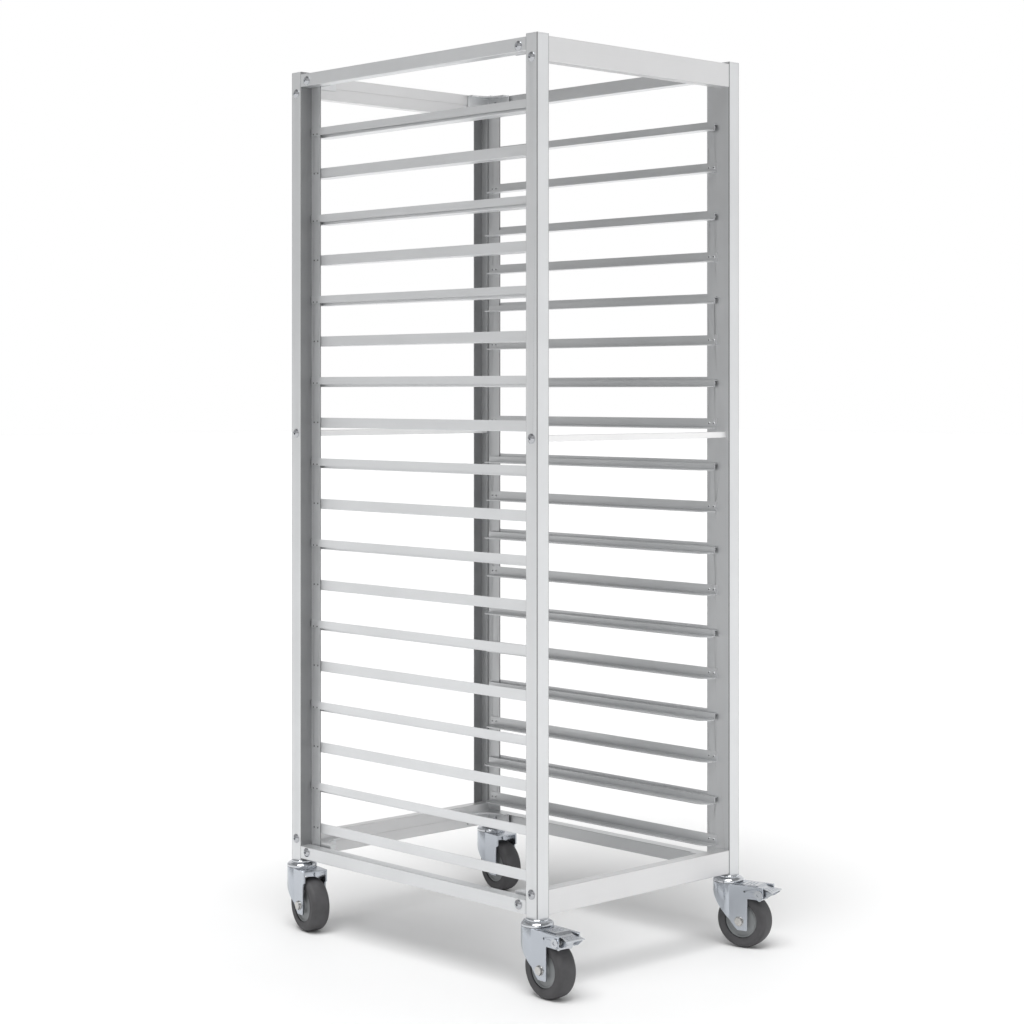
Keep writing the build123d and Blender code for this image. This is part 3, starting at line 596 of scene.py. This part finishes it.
def add_rivet_mandrels():
    """The dark broken-off mandrel in the middle of both heads of each blind rivet."""
    combined = bmesh.new()
    scratch = bpy.data.meshes.new("mandrel_scratch")
    for low, high in islands(NODES["runner_rivets"]):
        middle = (low + high) / 2
        for end in (low.x, high.x):
            stub = disc(MANDREL_RADIUS, MANDREL_LENGTH, 16)
            stub.transform(Matrix.Translation((end - MANDREL_SINK, middle.y, middle.z)))
            stub.to_mesh(scratch)
            stub.free()
            combined.from_mesh(scratch)
    bpy.data.meshes.remove(scratch)
    piece("rivet_mandrels", combined, Matrix.Identity(4), BLACK, "frame")


for corner in CORNERS:
    add_wheel_trim(corner)
    add_head_trim(corner)
    add_axle_washers(corner)
for corner in BRAKED:
    add_pedal_trim(corner)
add_rivet_mandrels()


# Floor, light and camera


FLOOR_SIZE = 80.0
# Painted shadow: the floor's colour greys towards the rack's middle.
SHADOW_POOL_INNER, SHADOW_POOL_OUTER = 0.25, 1.1
SHADOW_POOL_TONE, FLOOR_TONE = 0.84, 0.97


def add_floor():
    """A wide pale floor with a painted shadow, greyer under the rack."""
    bpy.ops.mesh.primitive_plane_add(size=FLOOR_SIZE)
    floor = bpy.context.object
    floor.name = "floor"
    shader = Shader("floor_paint", (0.95, 0.95, 0.95), 0.0, 0.7)
    place = shader.node("ShaderNodeTexCoord")
    distance = shader.node("ShaderNodeVectorMath")
    distance.operation = "LENGTH"
    shader.link(place.outputs["Object"], distance.inputs[0])
    shadow_pool = shader.node("ShaderNodeMapRange")
    shadow_pool.interpolation_type = "SMOOTHSTEP"
    shadow_pool.inputs["From Min"].default_value = SHADOW_POOL_INNER
    shadow_pool.inputs["From Max"].default_value = SHADOW_POOL_OUTER
    shadow_pool.inputs["To Min"].default_value = SHADOW_POOL_TONE
    shadow_pool.inputs["To Max"].default_value = FLOOR_TONE
    shader.link(distance.outputs["Value"], shadow_pool.inputs["Value"])
    shader.link(shadow_pool.outputs["Result"], shader.surface.inputs["Base Color"])
    floor.data.materials.append(shader.material)


class Sky:
    """The studio's surround: pale all round, with soft darker zones in chosen directions."""

    def __init__(self):
        world = bpy.data.worlds.new("studio")
        world.use_nodes = True
        self.tree = world.node_tree
        self.direction = self.tree.nodes.new("ShaderNodeTexCoord").outputs["Generated"]
        bpy.context.scene.world = world

    def math(self, operation, first, second):
        node = self.tree.nodes.new("ShaderNodeMath")
        node.operation = operation
        for index, value in enumerate((first, second)):
            if isinstance(value, float):
                node.inputs[index].default_value = value
            else:
                self.tree.links.new(value, node.inputs[index])
        return node.outputs["Value"]

    def zone(self, towards, edge, core, amount):
        """Rises smoothly from 0 at the edge cosine to amount at the core cosine."""
        dot = self.tree.nodes.new("ShaderNodeVectorMath")
        dot.operation = "DOT_PRODUCT"
        dot.inputs[1].default_value = Vector(towards).normalized()
        self.tree.links.new(self.direction, dot.inputs[0])
        ramp = self.tree.nodes.new("ShaderNodeMapRange")
        ramp.interpolation_type = "SMOOTHSTEP"
        ramp.inputs["From Min"].default_value = edge
        ramp.inputs["From Max"].default_value = core
        ramp.inputs["To Max"].default_value = amount
        self.tree.links.new(dot.outputs["Value"], ramp.inputs["Value"])
        return ramp.outputs["Result"]

    def finish(self, level):
        """White where the camera sees it, and the given level for light and reflections."""
        background = self.tree.nodes["Background"]
        background.inputs["Color"].default_value = (1.0, 1.0, 1.0, 1.0)
        seen = self.tree.nodes.new("ShaderNodeLightPath").outputs["Is Camera Ray"]
        unseen = self.math("SUBTRACT", 1.0, seen)
        lit = self.math("MULTIPLY", level, unseen)
        strength = self.math("ADD", lit, seen)
        self.tree.links.new(strength, background.inputs["Strength"])


SKY_LEVEL = 0.90
SUN_TOWARDS = (0.35, 0.25, -1.0)
SUN_ENERGY = 2.4
SUN_SOFTNESS_DEGREES = 40.0


def add_surround():
    sky = Sky()
    side = sky.zone((-0.69, 0.72, 0.05), 0.35, 0.95, 0.42)
    behind_camera = sky.zone((-0.69, -0.72, 0.1), 0.72, 0.98, 0.40)
    overhead = sky.zone((0.0, 0.0, 1.0), 0.5, 0.72, 0.62)
    low_dark = sky.math("ADD", side, behind_camera)
    dark = sky.math("MAXIMUM", low_dark, overhead)
    sky.finish(sky.math("SUBTRACT", SKY_LEVEL, dark))


def add_sun(towards, energy, softness):
    """A broad overhead light that shines towards a direction."""
    lamp = bpy.data.lights.new("overhead", "SUN")
    lamp.energy = energy
    lamp.angle = math.radians(softness)
    sun = bpy.data.objects.new("overhead", lamp)
    sun.rotation_euler = Vector(towards).to_track_quat("-Z", "Y").to_euler()
    bpy.context.scene.collection.objects.link(sun)


CAMERA_PLACE = (-2.841, -2.995, 1.022)
CAMERA_HEADING = 43.49
CAMERA_LENS = 77.3
CAMERA_SHIFT = -0.1187


def add_camera():
    """A level camera, so upright edges stay parallel, looking past the front left post."""
    data = bpy.data.cameras.new("camera")
    data.lens = CAMERA_LENS
    data.sensor_width = 36.0
    data.shift_y = CAMERA_SHIFT
    camera = bpy.data.objects.new("camera", data)
    camera.location = CAMERA_PLACE
    camera.rotation_euler = (math.radians(90), 0.0, math.radians(-CAMERA_HEADING))
    bpy.context.scene.collection.objects.link(camera)
    bpy.context.scene.camera = camera


add_floor()
add_surround()
add_sun(SUN_TOWARDS, SUN_ENERGY, SUN_SOFTNESS_DEGREES)
add_camera()
bpy.context.scene.view_settings.view_transform = "Standard"
